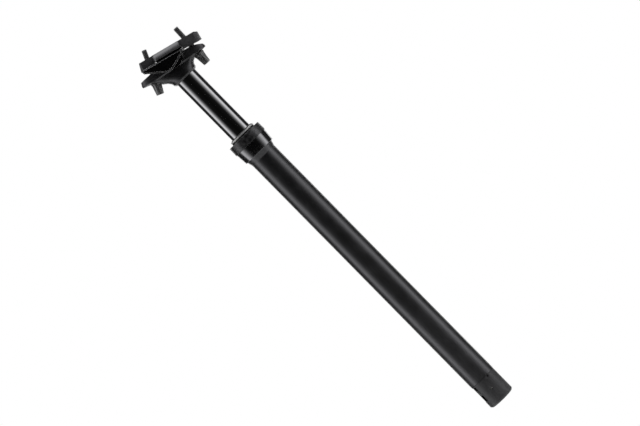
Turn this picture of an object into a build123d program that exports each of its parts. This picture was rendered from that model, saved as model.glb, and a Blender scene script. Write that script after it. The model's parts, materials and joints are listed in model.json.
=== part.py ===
from build123d import *
import os
from math import atan2, cos, degrees, hypot, radians, sin

# Telescopic seatpost with a two-bolt saddle clamp. Millimetres and degrees.
# The origin is the centre of the foot's end face, +Z runs up the post and +X points forward.
# The head and the clamp each have a leaning frame, with its origin at the rocker's centre.

# Fits
RUNNING_FIT = 0.05
LOOSE_FIT = 0.3
OVERCUT = 1.0

# Outer tube
TUBE_OD = 31.6
TUBE_WALL = 1.7
TUBE_LENGTH = 329.1
FLARE_LENGTH = 6.0
FLARE_STEP = 1.7
NECK_STEP = 0.7
NECK_LENGTH = 15.3
KEYWAY_DEPTH = 0.7
KEYWAY_COUNT = 3

# Collar, seal cap and wiper
CONE_LENGTH = 13.3
CONE_WALL = 2.7
CONE_TAPER = 1.1
CONE_SPIGOT = 6.0
CAP_LENGTH = 10.4
CAP_WALL = 2.4
CAP_TAPER = 0.3
CAP_LIP_LENGTH = 4.0
WIPER_STEP_HEIGHT = 1.8
WIPER_RING_HEIGHT = 1.5
WIPER_RING_WALL = 0.75
WIPER_LIP_HEIGHT = 1.0
WIPER_LIP_WALL = 0.7
WIPER_WALL = 2.25
FOAM_LENGTH = 10.0
UPPER_BUSHING_LENGTH = 28.0

# Stanchion and what guides it
BUSHING_WALL = 1.4
STANCHION_WALL = 1.5
STANCHION_LENGTH = 236.6
SOCKET_DEPTH = 9.5
TRAVEL = 80.0
TRAVEL_SPARE = 1.8
LOWER_BUSHING_LENGTH = 20.0
KEY_WIDTH = 3.0
KEY_LENGTH = 20.0
KEY_SEAT_DEPTH = 0.6
KEY_HEIGHT_ON_STANCHION = 27.6

# Cartridge
CARTRIDGE_WALL = 1.5
CARTRIDGE_GAP = 0.2
RETAINER_OFFSET = 1.2
RETAINER_THICKNESS = 1.4
RETAINER_WIDTH = 2.4
RETAINER_GROOVE = 0.6
END_PLUG_LENGTH = 12.0
GLAND_LENGTH = 12.0
ROD_SEAL_WALL = 1.9
ROD_SEAL_LENGTH = 3.0
ROD_SEAL_OFFSET = 4.0
ORING_DEPTH = 1.6
ORING_WIDTH = 2.0
BUMPER_LENGTH = 8.0
BUMPER_WALL = 4.0
CARTRIDGE_LENGTH = 212.0
CAP_PLUG_LENGTH = 8.0
CAP_FLANGE_LENGTH = 4.0
FILL_VALVE_OD = 5.0
FILL_VALVE_RISE = 2.0
FLOATING_PISTON_OFFSET = 138.0
FLOATING_PISTON_LENGTH = 12.0

# Rod, piston and valve
ROD_OD = 8.0
ROD_BORE = 4.0
ROD_THREAD = 12.0
PISTON_LENGTH = 14.0
PISTON_SOCKET = 6.0
PISTON_LAND = 0.2
RELEASE_PIN_OD = 3.0
POPPET_OD = 3.8
POPPET_HEAD_OD = 6.6
POPPET_HEAD_LENGTH = 1.5
LOCKNUT_ACROSS_FLATS = 15.0
LOCKNUT_LENGTH = 4.0

# Foot housing and release lever
FOOT_LENGTH = 31.0
FOOT_STEP = 0.3
FOOT_GAP = 0.3
FOOT_CHAMFER = 1.6
SPIGOT_LENGTH = 20.0
WINDOW_BOTTOM = 8.6
WINDOW_TOP = 29.2
WINDOW_DEPTH = 3.3
WINDOW_FAR = 3.0
CAVITY_HALF_WIDTH = 6.0
CAVITY_FRONT = 10.0
PIVOT_HEIGHT = 17.2
PIVOT_OD = 2.6
PIVOT_END_INSET = 0.15
LEVER_THICKNESS = 5.0
LEVER_HUB_RADIUS = 4.0
LEVER_EYE_RADIUS = 4.7
LEVER_EYE_RISE = 3.2
LEVER_WEB = 5.0
CAM_RADIUS = 6.0
CAM_LIFT_PER_DEGREE = 0.05
CAM_START = -30.0
CAM_END = 45.0
CAM_STEPS = 5
BARREL_OD = 6.0
BARREL_LENGTH = 10.4
CABLE_BORE = 2.0
PINCH_SCREW_OD = 3.0
CABLE_STOP_OD = 7.6
HOUSING_BORE = 5.2
HOUSING_BORE_DEPTH = 5.4
SPANNER_NOTCH = 3.0
SPANNER_NOTCH_DEPTH = 0.9
SPANNER_NOTCH_COUNT = 4
SPANNER_NOTCH_ANGLE = 22.0

# Clamp head
ROCKER_HEIGHT = 29.6
ROCKER_FORWARD = 3.0
ROCKER_RADIUS = 16.0
HEAD_LEAN = 10.3
HEAD_WALL = 2.85
HEAD_BEVEL = 2.1
HEAD_NECK_LENGTH = 12.3
HEAD_HALF_WIDTH = 13.0
WING_FRONT = 37.6
WING_REAR = 42.4
WING_TIP_HALF_WIDTH = 5.0
WING_END_TAPER = 4.5
WING_TOP = -4.9
WING_REAR_TOP = -6.1
WING_SHOULDER = -7.0
WING_TIP_TOP = -10.2
WING_TIP_DROP = 1.5
WING_TIP_SLOPE = 1.0
WING_UNDERSIDE = -14.3
GUSSET_STEP = 4.0

# Bolts, washers and barrel nuts
BOLT_OD = 6.0
BOLT_LENGTH = 36.2
BOLT_HEAD_LENGTH = 13.7
BOLT_HEAD_TOP_OD = 10.6
BOLT_HEAD_END_OD = 8.2
FLANGE_OD = 11.7
FLANGE_THICKNESS = 2.6
BOLT_KEY_SIZE = 5.0
BOLT_KEY_DEPTH = 5.0
BOLT_TIP_CHAMFER = 0.8
BOLT_HOLE_CLEARANCE = 0.6
SEAT_HALF_SPACING = 27.2
SEAT_DEPTH = -16.1
SEAT_GAP = 0.35
WASHER_RADIUS = 5.0
WASHER_HALF_WIDTH = 5.5
NUT_OD = 8.0
NUT_HALF_LENGTH = 9.0
NUT_FRONT = 24.6
NUT_REAR = -22.6
NUT_HEIGHT = 2.2
NUT_HOLE_CLEARANCE = 0.3

# Saddle clamp
CLAMP_LEAN = 14.15
TILT_MIN = -10.0
TILT_MAX = 2.5
SWING_RATIO = 1.13
RAIL_OD = 7.0
RAIL_SPACING = 44.0
CRADLE_TOP = -0.9
CRADLE_REAR = -32.3
CRADLE_FRONT = 16.8
CRADLE_KEEL = -5.5
CRADLE_KEEL_HALF = 3.0
CRADLE_DEPTH = -15.4
CRADLE_END_DEPTH = -5.2
CRADLE_END_SLOPE = 1.6
CRADLE_HALF_WIDTH = 27.5
CRADLE_EAR_INNER = 14.5
CRADLE_CHAMFER = 1.4
CRADLE_RIB_HALF_WIDTH = 6.0
UPPER_BOTTOM = 0.8
UPPER_TOP = 7.8
UPPER_REAR = -33.9
UPPER_FRONT = 38.6
UPPER_END_TAPER = 3.0
UPPER_REAR_BOTTOM = -1.6
UPPER_FRONT_DROP = 1.5
BLOCK_HALF_WIDTH = 13.9
BLOCK_BOTTOM = -3.0
BLOCK_INNER_RISE = 0.6
BLOCK_INNER_REAR = -16.4
BLOCK_INNER_FRONT = 17.2
BLOCK_END_LENGTH = 4.4
BLOCK_END_HALF_WIDTH = 5.0
EAR_REAR = -14.6
EAR_FRONT = 16.4
EAR_RADIUS = 7.0
EAR_CENTRE_OFFSET = 20.4
EAR_END_FILLET = 3.5

# Radii that follow from the sizes above
TUBE_R = TUBE_OD / 2
BORE_R = TUBE_R - TUBE_WALL
STANCHION_R = BORE_R - BUSHING_WALL
STANCHION_BORE_R = STANCHION_R - STANCHION_WALL
CARTRIDGE_R = STANCHION_BORE_R - CARTRIDGE_GAP
CHAMBER_R = CARTRIDGE_R - CARTRIDGE_WALL
NECK_R = TUBE_R + NECK_STEP
CONE_R = NECK_R + CONE_WALL
SPIGOT_R = NECK_R + (CONE_WALL + CONE_TAPER) / 2
CAP_R = SPIGOT_R + CAP_WALL + LOOSE_FIT / 2
WIPER_R = STANCHION_R + WIPER_WALL + WIPER_LIP_WALL / 2
LIP_R = STANCHION_R + WIPER_WALL
SLIDE_R = STANCHION_R + RUNNING_FIT
FOOT_R = TUBE_R - FOOT_STEP
HEAD_R = STANCHION_R + HEAD_WALL
ROD_R = ROD_OD / 2
BOLT_R = BOLT_OD / 2
FLANGE_R = FLANGE_OD / 2
RAIL_R = RAIL_OD / 2 + RUNNING_FIT

# Heights that follow from the sizes above
TUBE_TOP = FOOT_LENGTH + TUBE_LENGTH
FLARE_TOP = TUBE_TOP + FLARE_LENGTH
NECK_TOP = FLARE_TOP + NECK_LENGTH
CONE_TOP = FLARE_TOP + CONE_LENGTH
CAP_TOP = CONE_TOP + CAP_LENGTH
RING_BOTTOM = CAP_TOP + WIPER_STEP_HEIGHT
RING_TOP = RING_BOTTOM + WIPER_RING_HEIGHT
WIPER_TOP = RING_TOP + WIPER_LIP_HEIGHT
HEAD_BOTTOM = WIPER_TOP + TRAVEL + TRAVEL_SPARE
STANCHION_TOP = HEAD_BOTTOM + SOCKET_DEPTH
STANCHION_BOTTOM = STANCHION_TOP - STANCHION_LENGTH
RETAINER_BOTTOM = STANCHION_BOTTOM + RETAINER_OFFSET
PLUG_BOTTOM = RETAINER_BOTTOM + RETAINER_THICKNESS
GLAND_BOTTOM = PLUG_BOTTOM + END_PLUG_LENGTH
BUMPER_BOTTOM = GLAND_BOTTOM + GLAND_LENGTH
PISTON_BOTTOM = BUMPER_BOTTOM + BUMPER_LENGTH + LOOSE_FIT
PISTON_TOP = PISTON_BOTTOM + PISTON_LENGTH
ROD_TOP = PISTON_BOTTOM + PISTON_SOCKET
CARTRIDGE_TOP = GLAND_BOTTOM + CARTRIDGE_LENGTH
FLOATING_BOTTOM = GLAND_BOTTOM + FLOATING_PISTON_OFFSET
SPIGOT_TOP = FOOT_LENGTH + SPIGOT_LENGTH
ROD_BOTTOM = SPIGOT_TOP - ROD_THREAD
KEYS_BOTTOM = STANCHION_BOTTOM + KEY_HEIGHT_ON_STANCHION

# Places that follow from the sizes above
CABLE_X = -(FOOT_R - LEVER_EYE_RADIUS - 2 * LOOSE_FIT)
BARREL_HEIGHT = PIVOT_HEIGHT + LEVER_EYE_RISE
HEAD_FRAME = Pos(ROCKER_FORWARD, 0, HEAD_BOTTOM + ROCKER_HEIGHT) * Rot(0, HEAD_LEAN, 0)
CLAMP_FRAME = Pos(ROCKER_FORWARD, 0, HEAD_BOTTOM + ROCKER_HEIGHT) * Rot(0, CLAMP_LEAN, 0)


def disc(radius, bottom, top):
    """Cylinder on the post axis between two heights."""
    return Pos(0, 0, bottom) * Cylinder(radius, top - bottom, align=(Align.CENTER, Align.CENTER, Align.MIN))


def ring(outer, inner, bottom, top):
    """Plain ring on the post axis between two heights."""
    return disc(outer, bottom, top) - disc(inner, bottom - OVERCUT, top + OVERCUT)


def turned(points):
    """Solid of revolution about the post axis from (radius, height) points."""
    return revolve(Plane.XZ * make_face(Polyline(*points, close=True)), Axis.Z)


def plate(points, half_width):
    """Plate with an outline of (x, z) points, as wide on each side of the mid-plane."""
    return extrude(Plane.XZ * make_face(Polyline(*points, close=True)), half_width, both=True)


def cross_bar(radius, half_length, x, z):
    """Cylinder across the post, centred on the mid-plane."""
    return Pos(x, 0, z) * Rot(90, 0, 0) * Cylinder(radius, 2 * half_length)


def oring_groove(radius, bottom):
    """Ring that an outside O-ring fills in a turned piece of this radius."""
    return ring(radius, radius - ORING_DEPTH, bottom, bottom + ORING_WIDTH)


def bolt_frame(seat_x, nut_x):
    """Frame with its origin at a bolt's seat and +Z along the bolt, towards its nut."""
    seat = (HEAD_FRAME * Pos(seat_x, 0, SEAT_DEPTH)).position
    nut = (CLAMP_FRAME * Pos(nut_x, 0, NUT_HEIGHT)).position
    return Pos(seat.X, 0, seat.Z) * Rot(0, degrees(atan2(nut.X - seat.X, nut.Z - seat.Z)), 0)


BOLT_FRAMES = {
    "front": bolt_frame(SEAT_HALF_SPACING, NUT_FRONT),
    "rear": bolt_frame(-SEAT_HALF_SPACING, NUT_REAR),
}
NUT_PLACES = {
    "front": (CLAMP_FRAME * Pos(NUT_FRONT, 0, NUT_HEIGHT)).position,
    "rear": (CLAMP_FRAME * Pos(NUT_REAR, 0, NUT_HEIGHT)).position,
}


def keyway(half_width, inner, outer, bottom, top):
    """Bars spaced evenly round the post axis, for the keys or for their grooves."""
    bar = Pos((inner + outer) / 2, 0, (bottom + top) / 2) * Box(outer - inner, 2 * half_width, top - bottom)
    return [Rot(0, 0, 60 + index * 360 / KEYWAY_COUNT) * bar for index in range(KEYWAY_COUNT)]


def outer_tube():
    shell = turned([
        (BORE_R, FOOT_LENGTH),
        (TUBE_R, FOOT_LENGTH),
        (TUBE_R, TUBE_TOP),
        (TUBE_R + FLARE_STEP, FLARE_TOP),
        (NECK_R, FLARE_TOP),
        (NECK_R, NECK_TOP),
        (BORE_R, NECK_TOP),
    ])
    groove_bottom = KEYS_BOTTOM - TRAVEL - KEY_LENGTH / 2
    grooves = keyway(
        KEY_WIDTH / 2 + LOOSE_FIT / 2, STANCHION_R, BORE_R + KEYWAY_DEPTH, groove_bottom, NECK_TOP + OVERCUT
    )
    return shell - grooves


def bushing_housing():
    return turned([
        (NECK_R, FLARE_TOP),
        (CONE_R, FLARE_TOP),
        (CONE_R + CONE_TAPER, CONE_TOP),
        (SPIGOT_R, CONE_TOP),
        (SPIGOT_R, CONE_TOP + CONE_SPIGOT),
        (NECK_R, CONE_TOP + CONE_SPIGOT),
    ])


def seal_cap():
    lip_bottom = CAP_TOP - CAP_LIP_LENGTH
    return turned([
        (SPIGOT_R, CONE_TOP),
        (CAP_R, CONE_TOP),
        (CAP_R - CAP_TAPER, CAP_TOP - CAP_TAPER),
        (CAP_R - 2 * CAP_TAPER, CAP_TOP),
        (WIPER_R, CAP_TOP),
        (WIPER_R, lip_bottom),
        (SPIGOT_R, lip_bottom),
    ])


def wiper_seal():
    return turned([
        (SLIDE_R, NECK_TOP),
        (NECK_R, NECK_TOP),
        (NECK_R, CAP_TOP - CAP_LIP_LENGTH),
        (WIPER_R, CAP_TOP - CAP_LIP_LENGTH),
        (WIPER_R, RING_BOTTOM),
        (LIP_R, RING_BOTTOM),
        (LIP_R, RING_TOP),
        (SLIDE_R + WIPER_LIP_WALL, WIPER_TOP),
        (SLIDE_R, WIPER_TOP),
    ])


def wiper_ring():
    return ring(LIP_R + WIPER_RING_WALL, LIP_R, RING_BOTTOM, RING_TOP)


def foam_ring():
    return ring(BORE_R, SLIDE_R, NECK_TOP - FOAM_LENGTH, NECK_TOP)


def upper_bushing():
    top = NECK_TOP - FOAM_LENGTH
    return ring(BORE_R, SLIDE_R, top - UPPER_BUSHING_LENGTH, top)


def stanchion_tube():
    tube = ring(STANCHION_R, STANCHION_BORE_R, STANCHION_BOTTOM, STANCHION_TOP)
    retainer_groove = disc(STANCHION_BORE_R + RETAINER_GROOVE, RETAINER_BOTTOM, PLUG_BOTTOM)
    pockets = keyway(
        KEY_WIDTH / 2,
        STANCHION_R - KEY_SEAT_DEPTH,
        STANCHION_R + OVERCUT,
        KEYS_BOTTOM,
        KEYS_BOTTOM + KEY_LENGTH,
    )
    return tube - retainer_groove - pockets


def guide_keys():
    keys = keyway(
        KEY_WIDTH / 2,
        STANCHION_R - KEY_SEAT_DEPTH,
        BORE_R + KEYWAY_DEPTH - LOOSE_FIT,
        KEYS_BOTTOM,
        KEYS_BOTTOM + KEY_LENGTH,
    )
    return Compound(children=[Solid(key.solids()[0].wrapped) for key in keys])


def lower_bushing():
    top = STANCHION_BOTTOM + LOWER_BUSHING_LENGTH
    return ring(BORE_R - RUNNING_FIT, STANCHION_R, STANCHION_BOTTOM, top)


def retaining_ring():
    outer = STANCHION_BORE_R + RETAINER_GROOVE
    inner = STANCHION_BORE_R - RETAINER_WIDTH
    gap = Pos(outer, 0, RETAINER_BOTTOM) * Box(2 * outer, RETAINER_WIDTH, 4 * RETAINER_THICKNESS)
    return ring(outer, inner, RETAINER_BOTTOM, PLUG_BOTTOM) - gap


def end_plug():
    return ring(STANCHION_BORE_R, ROD_R + LOOSE_FIT, PLUG_BOTTOM, GLAND_BOTTOM)


def cartridge_tube():
    return ring(CARTRIDGE_R, CHAMBER_R, GLAND_BOTTOM, CARTRIDGE_TOP)


def cartridge_gland():
    seal_bottom = GLAND_BOTTOM + ROD_SEAL_OFFSET
    body = ring(CHAMBER_R, ROD_R + RUNNING_FIT, GLAND_BOTTOM, BUMPER_BOTTOM)
    return body - disc(ROD_R + ROD_SEAL_WALL, seal_bottom, seal_bottom + ROD_SEAL_LENGTH) - oring_groove(
        CHAMBER_R, BUMPER_BOTTOM - 2 * ORING_WIDTH
    )


def rod_seal():
    bottom = GLAND_BOTTOM + ROD_SEAL_OFFSET
    return ring(ROD_R + ROD_SEAL_WALL, ROD_R + RUNNING_FIT, bottom, bottom + ROD_SEAL_LENGTH)


def gland_oring():
    return oring_groove(CHAMBER_R, BUMPER_BOTTOM - 2 * ORING_WIDTH)


def topout_bumper():
    inner = ROD_R + LOOSE_FIT
    return ring(inner + BUMPER_WALL, inner, BUMPER_BOTTOM, BUMPER_BOTTOM + BUMPER_LENGTH)


def cartridge_cap():
    bottom = CARTRIDGE_TOP - CAP_PLUG_LENGTH
    top = CARTRIDGE_TOP + CAP_FLANGE_LENGTH
    plug = disc(CHAMBER_R, bottom, CARTRIDGE_TOP) + disc(STANCHION_BORE_R, CARTRIDGE_TOP, top)
    return plug - disc(FILL_VALVE_OD / 2, bottom, top)


def fill_valve():
    shoulder = CARTRIDGE_TOP + CAP_FLANGE_LENGTH
    stem = disc(FILL_VALVE_OD / 2, CARTRIDGE_TOP - CAP_PLUG_LENGTH, shoulder)
    return stem + disc(FILL_VALVE_OD / 2 + OVERCUT, shoulder, shoulder + FILL_VALVE_RISE)


def floating_piston():
    body = disc(CHAMBER_R - RUNNING_FIT, FLOATING_BOTTOM, FLOATING_BOTTOM + FLOATING_PISTON_LENGTH)
    middle = FLOATING_BOTTOM + (FLOATING_PISTON_LENGTH - ORING_WIDTH) / 2
    return body - oring_groove(CHAMBER_R - RUNNING_FIT, middle)


def floating_oring():
    middle = FLOATING_BOTTOM + (FLOATING_PISTON_LENGTH - ORING_WIDTH) / 2
    return oring_groove(CHAMBER_R - RUNNING_FIT, middle)


def piston():
    land_r = CHAMBER_R - PISTON_LAND
    seal_bottom = PISTON_BOTTOM + (PISTON_LENGTH - ORING_WIDTH) / 2
    rod_socket = disc(ROD_R, PISTON_BOTTOM, ROD_TOP)
    valve_bore = disc(POPPET_OD / 2 + LOOSE_FIT / 2, ROD_TOP, PISTON_TOP)
    body = disc(land_r, PISTON_BOTTOM, PISTON_TOP) - oring_groove(land_r, seal_bottom)
    return body - rod_socket - valve_bore


def piston_seal():
    land_r = CHAMBER_R - PISTON_LAND
    bottom = PISTON_BOTTOM + (PISTON_LENGTH - ORING_WIDTH) / 2
    return ring(CHAMBER_R - RUNNING_FIT, land_r - ORING_DEPTH, bottom, bottom + ORING_WIDTH)


def piston_rod():
    return ring(ROD_R, ROD_BORE / 2, ROD_BOTTOM, ROD_TOP)


def rod_locknut():
    across_corners = LOCKNUT_ACROSS_FLATS / cos(radians(30))
    hexagon = Pos(0, 0, SPIGOT_TOP) * extrude(RegularPolygon(across_corners / 2, 6), LOCKNUT_LENGTH)
    return hexagon - disc(ROD_R, SPIGOT_TOP, SPIGOT_TOP + LOCKNUT_LENGTH)


def release_pin():
    tip_radius = RELEASE_PIN_OD / 2
    tip_centre = PIVOT_HEIGHT + CAM_RADIUS + LOOSE_FIT + tip_radius
    return disc(tip_radius, tip_centre, ROD_TOP) + Pos(0, 0, tip_centre) * Sphere(tip_radius)


def valve_poppet():
    stem = disc(POPPET_OD / 2, ROD_TOP, PISTON_TOP + RUNNING_FIT)
    head_bottom = PISTON_TOP + RUNNING_FIT
    return stem + disc(POPPET_HEAD_OD / 2, head_bottom, head_bottom + POPPET_HEAD_LENGTH)


def actuator_housing():
    body = turned([
        (0, 0),
        (FOOT_R - FOOT_CHAMFER, 0),
        (FOOT_R, FOOT_CHAMFER),
        (FOOT_R, FOOT_LENGTH - FOOT_GAP),
        (BORE_R, FOOT_LENGTH - FOOT_GAP),
        (BORE_R, SPIGOT_TOP),
        (0, SPIGOT_TOP),
    ])
    window_height = WINDOW_TOP - WINDOW_BOTTOM
    window_middle = (WINDOW_TOP + WINDOW_BOTTOM) / 2
    window_width = 2 * FOOT_R + WINDOW_FAR
    window = Box(2 * FOOT_R, window_width, window_height)
    window = Pos(WINDOW_DEPTH - 2 * FOOT_R, WINDOW_FAR - window_width / 2, window_middle) * window
    cavity_length = hypot(CABLE_X, LEVER_EYE_RISE) + BARREL_OD / 2 + LOOSE_FIT + CAVITY_FRONT
    cavity = Box(cavity_length, 2 * CAVITY_HALF_WIDTH, window_height)
    cavity = Pos(CAVITY_FRONT - cavity_length / 2, 0, window_middle) * cavity
    pin_bore = disc(RELEASE_PIN_OD / 2 + LOOSE_FIT / 2, PIVOT_HEIGHT, ROD_BOTTOM)
    rod_bore = disc(ROD_R, ROD_BOTTOM, SPIGOT_TOP)
    pivot_bore = cross_bar(PIVOT_OD / 2, FOOT_R, 0, PIVOT_HEIGHT)
    stop_bore = Pos(CABLE_X, 0, 0) * disc(CABLE_STOP_OD / 2, 0, WINDOW_BOTTOM)
    notch = Box(2 * SPANNER_NOTCH_DEPTH, SPANNER_NOTCH, 2 * SPANNER_NOTCH)
    notch = Pos(FOOT_R, 0, FOOT_LENGTH) * notch
    notches = [
        Rot(0, 0, SPANNER_NOTCH_ANGLE + 360 * index / SPANNER_NOTCH_COUNT) * notch
        for index in range(SPANNER_NOTCH_COUNT)
    ]
    return body - window - cavity - pin_bore - rod_bore - pivot_bore - stop_bore - notches


def cable_stop():
    sleeve = disc(CABLE_STOP_OD / 2, 0, WINDOW_BOTTOM) - disc(CABLE_BORE / 2, 0, WINDOW_BOTTOM)
    return Pos(CABLE_X, 0, 0) * (sleeve - disc(HOUSING_BORE / 2, 0, HOUSING_BORE_DEPTH))


def pivot_pin():
    return cross_bar(PIVOT_OD / 2, FOOT_R - PIVOT_END_INSET, 0, PIVOT_HEIGHT)


def cam_point(angle):
    """Point of the cam's spiral at an angle from +Z towards +X."""
    radius = CAM_RADIUS + CAM_LIFT_PER_DEGREE * angle
    return (radius * sin(radians(angle)), PIVOT_HEIGHT + radius * cos(radians(angle)))


def cam_lever():
    step = (CAM_END - CAM_START) / CAM_STEPS
    spiral = Spline(*[cam_point(CAM_START + step * index) for index in range(CAM_STEPS + 1)])
    sides = Polyline(spiral @ 1, (0, PIVOT_HEIGHT), spiral @ 0)
    cam = extrude(Plane.XZ * make_face([spiral, sides]), LEVER_THICKNESS / 2, both=True)
    hub = cross_bar(LEVER_HUB_RADIUS, LEVER_THICKNESS / 2, 0, PIVOT_HEIGHT)
    eye = cross_bar(LEVER_EYE_RADIUS, LEVER_THICKNESS / 2, CABLE_X, BARREL_HEIGHT)
    web = plate(
        [
            (0, PIVOT_HEIGHT - LEVER_WEB / 2),
            (0, PIVOT_HEIGHT + LEVER_WEB / 2),
            (CABLE_X, BARREL_HEIGHT + LEVER_WEB / 2),
            (CABLE_X, BARREL_HEIGHT - LEVER_WEB / 2),
        ],
        LEVER_THICKNESS / 2,
    )
    barrel_bore = cross_bar(BARREL_OD / 2, LEVER_THICKNESS, CABLE_X, BARREL_HEIGHT)
    cable_slot = Pos(CABLE_X, 0, BARREL_HEIGHT - LEVER_EYE_RADIUS) * Box(
        CABLE_BORE + LOOSE_FIT, CABLE_BORE + LOOSE_FIT, 2 * LEVER_EYE_RADIUS
    )
    pivot_bore = cross_bar(PIVOT_OD / 2 + RUNNING_FIT, LEVER_THICKNESS, 0, PIVOT_HEIGHT)
    return cam + hub + eye + web - barrel_bore - cable_slot - pivot_bore


def cable_barrel():
    body = cross_bar(BARREL_OD / 2, BARREL_LENGTH / 2, CABLE_X, BARREL_HEIGHT)
    cable_bore = Pos(CABLE_X, 0, BARREL_HEIGHT) * Cylinder(CABLE_BORE / 2, 2 * BARREL_OD)
    screw_bore = Pos(CABLE_X, BARREL_LENGTH / 2, BARREL_HEIGHT) * Rot(90, 0, 0) * Cylinder(
        PINCH_SCREW_OD / 2, BARREL_LENGTH - CABLE_BORE
    )
    return body - cable_bore - screw_bore


def pinch_screw():
    length = (BARREL_LENGTH - CABLE_BORE) / 2
    screw = Cylinder(PINCH_SCREW_OD / 2, length) - Pos(0, 0, -length / 2) * extrude(
        RegularPolygon(PINCH_SCREW_OD / 4, 6), length / 2
    )
    return Pos(CABLE_X, (BARREL_LENGTH - length) / 2, BARREL_HEIGHT) * Rot(90, 0, 0) * screw


def wing_outline():
    """Side outline of the head's two wings and the gussets under them, in the head's frame."""
    tip_fall = WING_TIP_TOP - WING_UNDERSIDE
    return [
        (0, WING_TOP),
        (ROCKER_RADIUS, WING_TOP),
        (WING_FRONT - 2 * tip_fall, WING_SHOULDER),
        (WING_FRONT - WING_TIP_SLOPE, WING_TIP_TOP),
        (WING_FRONT, WING_TIP_TOP - WING_TIP_DROP),
        (WING_FRONT, WING_UNDERSIDE),
        (SEAT_HALF_SPACING + FLANGE_R + LOOSE_FIT, WING_UNDERSIDE - SEAT_GAP),
        (SEAT_HALF_SPACING - FLANGE_R - LOOSE_FIT, SEAT_DEPTH - SEAT_GAP),
        (SEAT_HALF_SPACING - FLANGE_R - GUSSET_STEP, SEAT_DEPTH - GUSSET_STEP),
        (HEAD_R, SEAT_DEPTH - 2 * GUSSET_STEP),
        (0, SEAT_DEPTH - 3 * GUSSET_STEP),
        (-HEAD_R, SEAT_DEPTH - 3 * GUSSET_STEP),
        (FLANGE_R + GUSSET_STEP - SEAT_HALF_SPACING, SEAT_DEPTH - 2 * GUSSET_STEP),
        (FLANGE_R + LOOSE_FIT - SEAT_HALF_SPACING, SEAT_DEPTH - SEAT_GAP),
        (-SEAT_HALF_SPACING - FLANGE_R - LOOSE_FIT, WING_UNDERSIDE),
        (WING_TIP_SLOPE - WING_REAR, WING_UNDERSIDE + SEAT_GAP),
        (-WING_REAR, WING_TIP_TOP - WING_TIP_DROP),
        (2 * WING_TIP_SLOPE - WING_REAR, WING_SHOULDER - WING_TIP_SLOPE),
        (-SEAT_HALF_SPACING, WING_REAR_TOP),
    ]


def wing_plan():
    """Plan outline of the head, narrower towards both ends."""
    half = HEAD_HALF_WIDTH
    tip = WING_TIP_HALF_WIDTH
    right = [
        (WING_FRONT + OVERCUT, tip),
        (WING_FRONT - WING_END_TAPER, tip + WING_END_TAPER),
        (ROCKER_RADIUS, half),
        (-ROCKER_RADIUS, half),
        (WING_END_TAPER - WING_REAR, tip + WING_END_TAPER),
        (-WING_REAR - OVERCUT, tip),
    ]
    return right + [(x, -y) for x, y in reversed(right)]


def seat_cut(frame):
    """Room below a wing for one bolt: groove for its washer, its hole and the space for its head."""
    groove = cross_bar(WASHER_RADIUS + RUNNING_FIT, WASHER_HALF_WIDTH + LOOSE_FIT, 0, 0)
    hole = disc(BOLT_R + BOLT_HOLE_CLEARANCE, 0, BOLT_LENGTH)
    head_room = disc(FLANGE_R + 2 * LOOSE_FIT, -2 * BOLT_HEAD_LENGTH, SEAT_GAP)
    return frame * (groove + hole + head_room)


def head():
    wings = plate(wing_outline(), HEAD_HALF_WIDTH)
    plan = extrude(make_face(Polyline(*wing_plan(), close=True)), -2 * ROCKER_HEIGHT)
    neck = turned([
        (0, HEAD_BOTTOM),
        (HEAD_R - HEAD_BEVEL * 2 / 3, HEAD_BOTTOM),
        (HEAD_R, HEAD_BOTTOM + HEAD_BEVEL),
        (HEAD_R, HEAD_BOTTOM + HEAD_NECK_LENGTH),
        (0, HEAD_BOTTOM + HEAD_NECK_LENGTH),
    ])
    body = HEAD_FRAME * (wings & plan) + neck
    below = Pos(0, 0, HEAD_BOTTOM - ROCKER_HEIGHT / 2) * Box(4 * HEAD_R, 4 * HEAD_R, ROCKER_HEIGHT)
    trough = HEAD_FRAME * cross_bar(ROCKER_RADIUS, 2 * HEAD_HALF_WIDTH, 0, 0)
    socket = disc(STANCHION_R, HEAD_BOTTOM - OVERCUT, STANCHION_TOP)
    valve_room = disc(FILL_VALVE_OD, HEAD_BOTTOM - OVERCUT, STANCHION_TOP + OVERCUT)
    body = body - below - trough - socket - valve_room
    for frame in BOLT_FRAMES.values():
        body = body - seat_cut(frame)
    return body


def rail_grooves():
    """Two rails in the clamp's frame, with their fit, to cut their grooves."""
    rail = Rot(0, 90, 0) * Cylinder(RAIL_R, 4 * CRADLE_HALF_WIDTH)
    return [Pos(0, side * RAIL_SPACING / 2, 0) * rail for side in (-1, 1)]


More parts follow.
